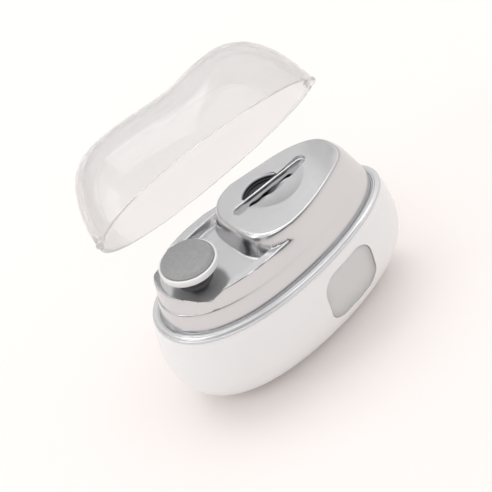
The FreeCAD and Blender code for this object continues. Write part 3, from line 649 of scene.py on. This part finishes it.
# ---------------------------------------------------------------------------
# Polisher: a grey abrasive pad glued into a white moulded holder, on a dark stem
# that comes up through a rubber seal from its own motor.
# ---------------------------------------------------------------------------
PAD_BASE, PAD_TOP = side_span("polishing_pad")[1]
HOLDER_BASE = side_span("pad_holder")[1][0]
STEM_BASE = side_span("disc_stem")[1][0]
PAD_RADIUS = 8.5
HOLDER_RADIUS = 9.3
STEM_RADIUS = 3.4
HUB = 0.4


def turned(name, profile, count=128):
    """Turned piece about the disc's axis; profile is (radius, height) from bottom to top."""
    angles = evenly_round(count)
    piece = ring_mesh(name, [flat_ring(DISC_X + radius * np.cos(angles), radius * np.sin(angles), height)
                             for radius, height in profile])
    smooth(piece, 50.0)
    return piece


def round_corner(radius, height, size, start, steps=6):
    """Quarter circle about a corner centre, from start degrees anticlockwise."""
    return [(radius + size * math.cos(math.radians(start + 90.0 * i / steps)),
             height + size * math.sin(math.radians(start + 90.0 * i / steps))) for i in range(steps + 1)]


pad_profile = ([(HUB, PAD_BASE), (PAD_RADIUS - 0.05, PAD_BASE)]
               + round_corner(PAD_RADIUS - 0.25, PAD_TOP - 0.85, 0.2, 0.0, 4)
               + round_corner(PAD_RADIUS - 0.85, PAD_TOP - 0.3, 0.3, 20.0, 5)[1:]
               + [(HUB, PAD_TOP)])
holder_profile = ([(HUB, HOLDER_BASE)] + round_corner(HOLDER_RADIUS - 0.8, HOLDER_BASE + 0.8, 0.8, -90.0)
                  + round_corner(HOLDER_RADIUS - 0.3, PAD_BASE + 0.2, 0.3, 0.0)
                  + [(PAD_RADIUS + 0.1, PAD_BASE + 0.5), (PAD_RADIUS + 0.03, PAD_BASE), (HUB, PAD_BASE)])
stem_profile = ([(HUB, STEM_BASE), (STEM_RADIUS, STEM_BASE), (STEM_RADIUS, DISH_FLOOR_H + 2.2)]
                + round_corner(STEM_RADIUS - 0.5, HOLDER_BASE - 1.2, 0.4, 0.0)
                + [(STEM_RADIUS - 1.0, HOLDER_BASE), (HUB, HOLDER_BASE)])
pad_piece = turned("abrasive_pad", pad_profile)
holder_piece = turned("white_pad_holder", holder_profile)
stem_piece = turned("disc_spindle", stem_profile, 64)


def abrasive(name):
    """Fine abrasive grit in a grey binder."""
    material, tree, shader = new_material(name)
    place = add_node(tree, "TexCoord")
    grit = add_node(tree, "TexVoronoi", Scale=3200.0)
    cloud = add_node(tree, "TexNoise", Scale=900.0, Detail=6.0)
    tone = add_node(tree, "ValToRGB")
    tone.color_ramp.elements[0].position = 0.3
    tone.color_ramp.elements[0].color = (0.31, 0.31, 0.315, 1.0)
    tone.color_ramp.elements[1].position = 0.75
    tone.color_ramp.elements[1].color = (0.36, 0.36, 0.36, 1.0)
    tree.links.new(place.outputs["Object"], grit.inputs["Vector"])
    tree.links.new(place.outputs["Object"], cloud.inputs["Vector"])
    tree.links.new(cloud.outputs["Fac"], tone.inputs["Fac"])
    tree.links.new(tone.outputs["Color"], shader.inputs["Base Color"])
    add_relief(tree, shader, grit.outputs["Distance"], 0.25, 0.0001)
    shader.inputs["Roughness"].default_value = 0.55
    return material


dress(pad_piece, abrasive("grey_abrasive_pad"))
dress(holder_piece, plastic("white_holder_plastic", (0.88, 0.88, 0.88), 0.35, coat=0.2))
dress(stem_piece, dark_nylon)
for piece, node, slot in ((pad_piece, "polishing_pad", "grey_abrasive"),
                          (holder_piece, "pad_holder", "white_plastic"),
                          (stem_piece, "disc_stem", "dark_plastic")):
    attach(piece, "disc_rotor")
    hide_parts(node)
rubber = plastic("grey_silicone", (0.12, 0.12, 0.125), 0.7, grain=700.0, relief=0.15)
dress(nodes["stem_seal"], rubber)

# ---------------------------------------------------------------------------
# Dust box: a clear polycarbonate drawer whose front follows the base, sliding in
# a white moulded bay behind the window.
# ---------------------------------------------------------------------------


def clear_plastic(name, tint, roughness, alpha, clarity):
    """Slightly milky clear moulding with faint flow marks in its surface."""
    material, tree, shader = new_material(name)
    place = add_node(tree, "TexCoord")
    flow = add_node(tree, "TexNoise", Scale=30.0, Detail=2.0)
    span = add_node(tree, "MapRange", To_Min=roughness * 0.7, To_Max=roughness * 1.3)
    tree.links.new(place.outputs["Object"], flow.inputs["Vector"])
    tree.links.new(flow.outputs["Fac"], span.inputs["Value"])
    tree.links.new(span.outputs["Result"], shader.inputs["Roughness"])
    add_relief(tree, shader, flow.outputs["Fac"], 0.03, 0.0003)
    shader.inputs["Base Color"].default_value = (*tint, 1.0)
    shader.inputs["Transmission Weight"].default_value = clarity
    shader.inputs["IOR"].default_value = 1.45
    shader.inputs["Alpha"].default_value = alpha
    return material


box_clear = clear_plastic("clear_polycarbonate_box", (0.98, 0.98, 0.98), 0.08, 0.75, 0.3)
BOX_WALL = 1.3
BOX_BACK_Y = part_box("dust_box")[1].y / MM
BOX_SINK = 0.6
MOUTH_X = (5.0, 21.0)
MOUTH_Y = (-13.0, BOX_BACK_Y - BOX_WALL)


def drawer_bar(name, gap, back, sink):
    """Bar through the window, gap smaller all round, its front following the hull sink under the skin."""
    outline = rounded_box_outline((WINDOW_X[0] + gap, WINDOW_X[1] - gap),
                                  (WINDOW_Z[0] + gap, WINDOW_Z[1] - gap), WINDOW_CORNER - gap)
    bar = side_bar(name, outline, (-OUTSIDE_Y, back))
    combine(bar, [ring_mesh("hull_form", hull_rings(sink, 2.0 - SEAM, 30))], "INTERSECT")
    return bar


box_piece = drawer_bar("clear_dust_box", BOX_GAP, BOX_BACK_Y, BOX_SINK)
box_room = drawer_bar("box_room", BOX_GAP + BOX_WALL, BOX_BACK_Y - BOX_WALL, BOX_SINK + BOX_WALL)
box_mouth = ring_mesh("box_mouth", [
    np.array([(MOUTH_X[0], MOUTH_Y[0], z), (MOUTH_X[1], MOUTH_Y[0], z),
              (MOUTH_X[1], MOUTH_Y[1], z), (MOUTH_X[0], MOUTH_Y[1], z)])
    for z in (WINDOW_Z[1] - 6.0, WINDOW_Z[1] + 1.0)])
carve(box_piece, [box_room, box_mouth])
smooth(box_piece, 40.0)
dress(box_piece, box_clear)
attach(box_piece, "dust_drawer")
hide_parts("dust_box")
dress(nodes["drawer_bay"], plastic("white_bay_abs", (0.93, 0.93, 0.935), 0.45))
dress(nodes["status_lens"], box_clear)

# ---------------------------------------------------------------------------
# Power: a foil pouch cell on foam, the circuit board with its switch and
# charging socket, and the white button on the far side.
# ---------------------------------------------------------------------------
foil = metal("pouch_foil", (0.7, 0.71, 0.72), 0.35, smudge=0.15, relief=0.2, hairline=60.0)
foam = plastic("grey_foam", (0.15, 0.15, 0.16), 0.9, grain=500.0, variation=0.3, relief=0.6)
board_green = plastic("board_green", (0.02, 0.12, 0.05), 0.4, grain=600.0, relief=0.1)
dress(nodes["battery_cell"], foil)
dress(nodes["battery_foam"], foam)
dress_all(("circuit_board", "cell_tab_board"), board_green)
dress(nodes["power_button"], white_gloss)

# ---------------------------------------------------------------------------
# Lid: one clear polycarbonate arch that covers the whole top, with a thumb lip
# and a small hook at each end. It lifts off, and stands open beside the cover.
# ---------------------------------------------------------------------------
LID_RIM_H = 0.95
LID_WALL = 1.2
LID_INSET = 0.4
LID_POWER = 2.5
LIP_X = 41.0
LIP_RADIUS = 2.9
LIP_THICK = 1.2
LIP_SOFT = 0.25
HOOK_X = (40.3, 41.9)
HOOK_H = (1.55, 2.95)
CREST = np.array([(-42.5, 5.0), (-41.3, 10.2), (-38.6, 16.6), (-34.6, 22.6), (-28.0, 26.0), (-18.0, 26.8),
                  (-7.0, 26.2), (3.0, 25.9), (11.5, 27.3), (19.5, 28.2), (26.5, 27.9), (33.5, 24.8),
                  (38.6, 18.4), (41.0, 12.0), (42.5, 5.6)])


def through(points, steps):
    """Smooth line through the points, evenly divided between them."""
    padded = np.vstack([2 * points[0] - points[1], points, 2 * points[-1] - points[-2]])
    line = []
    for i in range(1, len(padded) - 2):
        a, b, c, d = padded[i - 1:i + 3]
        for t in np.arange(steps) / steps:
            line.append(0.5 * (2 * b + (c - a) * t + (2 * a - 5 * b + 4 * c - d) * t ** 2
                               + (3 * b - a - 3 * c + d) * t ** 3))
    line.append(points[-1])
    return np.array(line)


def seam_half_width(x):
    """Half width of the seam outline at x."""
    part = np.minimum(np.abs(x) / HALF_LENGTH, 1.0)
    edge = (1.0 - part ** OUTLINE_POWER) ** (1.0 / OUTLINE_POWER)
    return HALF_WIDTH * edge * (1.0 + OUTLINE_TAPER * x / HALF_LENGTH)


def lid_section(x, half_width, crest, foot, count=72):
    """Arch across the body at x, from the far rim over the crest to the near rim."""
    turn = np.linspace(0.0, math.pi, count + 1)
    cosine = np.cos(turn)
    y = half_width * np.sign(cosine) * np.abs(cosine) ** (2.0 / LID_POWER)
    rise = np.sin(turn)
    rise[[0, -1]] = 0.0
    z = foot + (crest - foot) * rise ** (2.0 / LID_POWER)
    return np.stack([np.full_like(y, x), y, z], axis=1)


crest_line = through(CREST, 6)
shrink = 1.0 - LID_WALL / (HALF_LENGTH - LID_INSET)
lid_rings = []
for x, crest in crest_line:
    width = float(seam_half_width(x)) - LID_INSET
    outside = lid_section(x, width, crest, LID_RIM_H)
    inside = lid_section(x * shrink, width - LID_WALL, crest - LID_WALL, LID_RIM_H)
    rim_near = outside[-1:] * 0.5 + inside[-1:] * 0.5
    rim_far = outside[:1] * 0.5 + inside[:1] * 0.5
    lid_rings.append(np.concatenate([outside, rim_near, inside[::-1], rim_far]))
lid_piece = ring_mesh("clear_lid", lid_rings, False, False)


def close_ends(piece):
    """Outer and inner end faces of the arch."""
    made = bmesh.new()
    made.from_mesh(piece.data)
    loops = [edge for edge in made.edges if edge.is_boundary]
    bmesh.ops.holes_fill(made, edges=loops, sides=0)
    bmesh.ops.recalc_face_normals(made, faces=made.faces)
    made.to_mesh(piece.data)
    made.free()


def thumb_lip(side):
    """Half-moon thumb lip at one tip of the lid, with softened edges."""
    turns = np.radians(np.linspace(-81.0, 81.0, 25))
    outline = side * np.stack([LIP_X + LIP_RADIUS * np.cos(turns), LIP_RADIUS * np.sin(turns)], axis=1)
    top = LID_RIM_H + LIP_THICK
    return flared_cutter("lip", outline, [(LID_RIM_H, -LIP_SOFT), (LID_RIM_H + LIP_SOFT, 0.0),
                                          (top - LIP_SOFT, 0.0), (top, -LIP_SOFT)])


close_ends(lid_piece)
additions = []
for side in (-1.0, 1.0):
    additions += [thumb_lip(side), end_block("hook", HOOK_X, 2.1, HOOK_H, side)]
combine(lid_piece, additions, "UNION")
bead_top = LEDGE_H + BEAD + 0.2
bead_gap = [(1.7, 0.0), (1.7, bead_top), (3.2, bead_top), (3.2, 0.0)]
carve(lid_piece, [seam_profile("bead_gap", bead_gap)])
hinge = [joint for joint in frame["joints"] if joint["name"] == "lid_close"][0]
hinge_at = Vector(hinge["pos_m"])
open_turn = (Matrix.Translation(hinge_at) @ Matrix.Rotation(-math.radians(hinge["range_deg"][1]), 4, "X")
             @ Matrix.Translation(-hinge_at))
lid_piece.data.transform(open_turn)
smooth(lid_piece, 60.0)
dress(lid_piece, clear_plastic("clear_lid_polycarbonate", (0.93, 0.932, 0.935), 0.1, 0.8, 0.86))
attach(lid_piece, "lid")
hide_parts("lid")

# ---------------------------------------------------------------------------
# Stage: a plain pale paper floor, soft overhead light, two dark cards that only
# show as accents in the chrome, and a long lens.
# ---------------------------------------------------------------------------
AIM = Vector((0.0, 0.0, 0.03))


def stage_sheet(name, half_width, half_height, material, place=None):
    """Flat sheet of the set: flat on the ground, or facing the aim from a place."""
    corners = [(-half_width, -half_height, 0), (half_width, -half_height, 0),
               (half_width, half_height, 0), (-half_width, half_height, 0)]
    mesh = bpy.data.meshes.new(name)
    mesh.from_pydata(corners, [], [(0, 1, 2, 3)])
    if place:
        facing = (AIM - Vector(place)).to_track_quat("-Z", "Y").to_matrix().to_4x4()
        mesh.transform(Matrix.Translation(Vector(place)) @ facing)
    sheet = bpy.data.objects.new(name, mesh)
    bpy.context.scene.collection.objects.link(sheet)
    dress(sheet, material)


paper = plastic("pale_paper", (0.92, 0.872, 0.848), 0.9, grain=300.0, variation=0.01, relief=0.0)
stage_sheet("studio_floor", 3, 3, paper)

world = bpy.data.worlds.new("studio")
bpy.context.scene.world = world
world.use_nodes = True
sky = world.node_tree
place = add_node(sky, "TexCoord")
split = add_node(sky, "SeparateXYZ")
bands = add_node(sky, "ValToRGB")
sky.links.new(place.outputs["Generated"], split.inputs["Vector"])
sky.links.new(split.outputs["Z"], bands.inputs["Fac"])
sky.links.new(bands.outputs["Color"], sky.nodes["Background"].inputs["Color"])
bands.color_ramp.elements[0].position = 0.0
bands.color_ramp.elements[0].color = (0.8, 0.79, 0.785, 1.0)
bands.color_ramp.elements[1].position = 1.0
bands.color_ramp.elements[1].color = (0.75, 0.75, 0.755, 1.0)
for position, value in ((0.25, 0.66), (0.5, 1.1), (0.75, 1.1)):
    element = bands.color_ramp.elements.new(position)
    element.color = (value, value * 0.99, value * 0.985, 1.0)
sky.nodes["Background"].inputs["Strength"].default_value = 0.93


def soft_light(name, place, size, radiance):
    """Rectangular light aimed at the part; its power follows from its area."""
    data = bpy.data.lights.new(name, "AREA")
    data.shape = "RECTANGLE"
    data.size, data.size_y = size
    data.energy = radiance * math.pi * size[0] * size[1]
    lamp = bpy.data.objects.new(name, data)
    lamp.location = place
    lamp.rotation_euler = (AIM - Vector(place)).to_track_quat("-Z", "Y").to_euler()
    bpy.context.scene.collection.objects.link(lamp)


soft_light("overhead", (0.05, 0.25, 0.9), (0.8, 0.6), 1.6)
soft_light("near_side", (-0.35, -0.8, 0.7), (0.5, 0.4), 1.0)
soft_light("left_strip", (-0.8, 0.1, 0.5), (0.2, 0.7), 1.6)
stage_sheet("front_card", 0.18, 0.09, dark_nylon, (-0.6, -0.04, 0.13))
stage_sheet("near_card", 0.8, 0.16, dark_nylon, (-0.1, -0.9, 0.24))

CAMERA_AT = Vector((-0.1946, -0.4795, 0.4535 + SEAM * MM))
CAMERA_RIGHT = Vector((0.7537, -0.5810, -0.3074))
CAMERA_UP = Vector((0.5965, 0.4081, 0.6912))
camera_back = CAMERA_RIGHT.cross(CAMERA_UP).normalized()
lens = bpy.data.cameras.new("camera")
lens.sensor_width = 36.0
lens.lens = 163.6
lens.clip_end = 20.0
camera = bpy.data.objects.new("camera", lens)
camera_turn = Matrix((CAMERA_RIGHT, CAMERA_UP, camera_back)).transposed().to_4x4()
camera.matrix_world = Matrix.Translation(CAMERA_AT) @ camera_turn
bpy.context.scene.collection.objects.link(camera)
bpy.context.scene.camera = camera
bpy.context.scene.view_settings.view_transform = "Standard"
